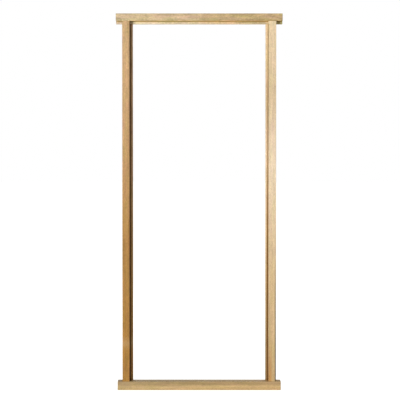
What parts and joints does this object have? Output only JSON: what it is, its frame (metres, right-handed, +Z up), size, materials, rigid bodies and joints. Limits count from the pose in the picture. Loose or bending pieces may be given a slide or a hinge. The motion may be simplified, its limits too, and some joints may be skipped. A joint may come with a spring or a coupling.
{
  "type": "door frame",
  "caption": "Rebated oak door frame with a horned head, jambs and a weathered sill, joined by wedged tenons, for an inward-opening external door.",
  "frame": {"origin": "middle of the sill's underside", "axes": "+Z up; -Y towards the rebated side, where the door leaf goes in; +Y towards the nose of the sill; +X to the right seen from the rebated side"},
  "size_m": [0.918, 0.145, 2.079],
  "materials": {
    "oak": "satin",
    "wedge_oak": "satin"
  },
  "bodies": {
    "root": {"head": "oak", "jamb_left": "oak", "jamb_right": "oak", "sill": "oak", "wedge_head_left_inner": "wedge_oak", "wedge_head_left_outer": "wedge_oak", "wedge_head_right_inner": "wedge_oak", "wedge_head_right_outer": "wedge_oak", "wedge_sill_left_inner": "wedge_oak", "wedge_sill_left_outer": "wedge_oak", "wedge_sill_right_inner": "wedge_oak", "wedge_sill_right_outer": "wedge_oak"}
  },
  "joints": []
}
